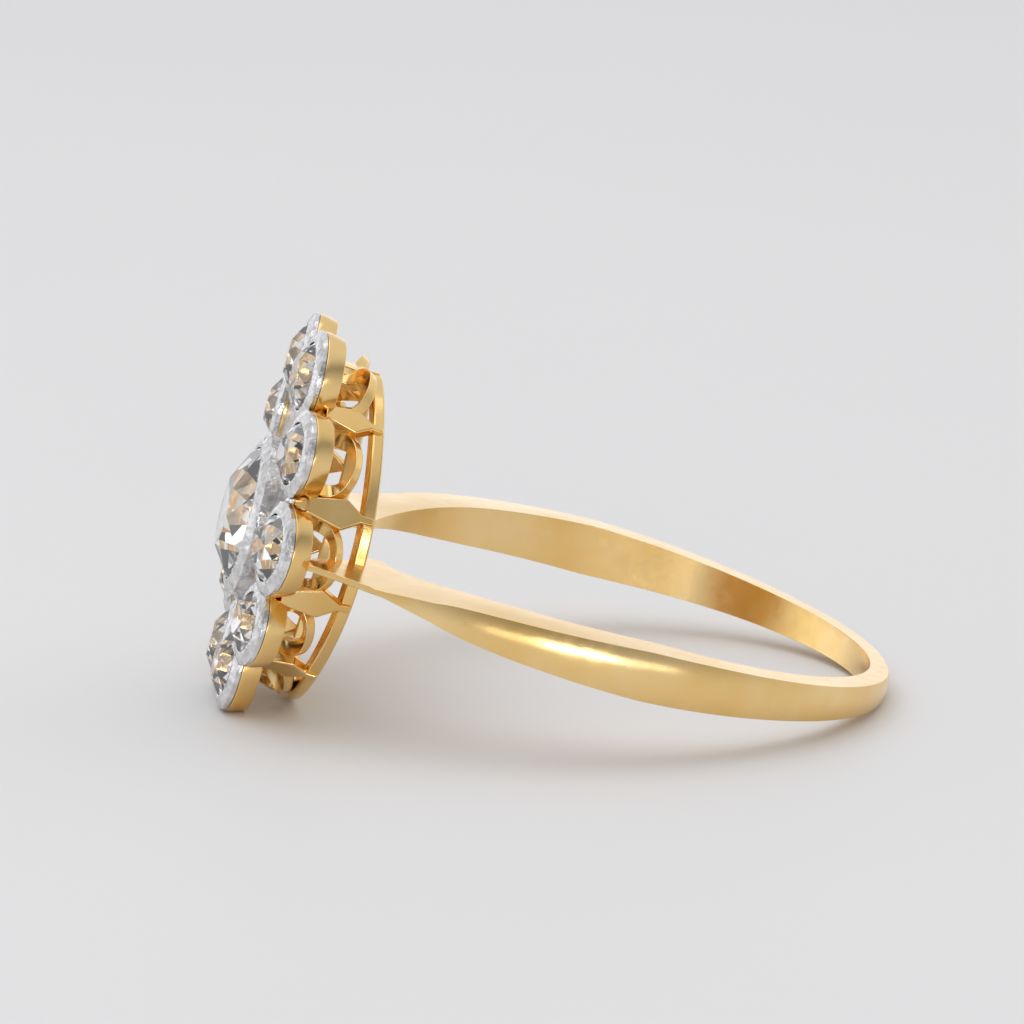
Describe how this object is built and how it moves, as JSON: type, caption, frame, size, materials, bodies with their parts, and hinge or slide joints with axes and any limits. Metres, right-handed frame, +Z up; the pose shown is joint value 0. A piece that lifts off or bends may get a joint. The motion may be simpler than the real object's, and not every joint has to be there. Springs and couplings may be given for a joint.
{
  "type": "diamond cluster ring",
  "caption": "Cluster ring lying on its side: round stones in a white metal flower on a pierced yellow gold gallery, with tapering shoulders and a plain half round shank.",
  "frame": {"origin": "the centre of the finger hole", "axes": "+Z up from the surface that the ring lies on, the head of stones towards -X and the back of the shank towards +X; the finger hole's axis leans 15.33 degrees from +Z towards +X, the ring's resting lean"},
  "size_m": [0.022, 0.0202, 0.0123],
  "materials": {
    "yellow_gold": "polished yellow gold with fine wear scratches",
    "white_metal": "softly polished platinum-coloured metal",
    "diamond": "clear faceted stone"
  },
  "bodies": {
    "root": {"gold_mount": "yellow_gold", "white_setting": "white_metal", "centre_stone": "diamond", "petal_stone_1": "diamond", "petal_stone_2": "diamond", "petal_stone_3": "diamond", "petal_stone_4": "diamond", "petal_stone_5": "diamond", "petal_stone_6": "diamond", "petal_stone_7": "diamond", "petal_stone_8": "diamond", "petal_stone_9": "diamond", "petal_stone_10": "diamond"}
  },
  "joints": []
}
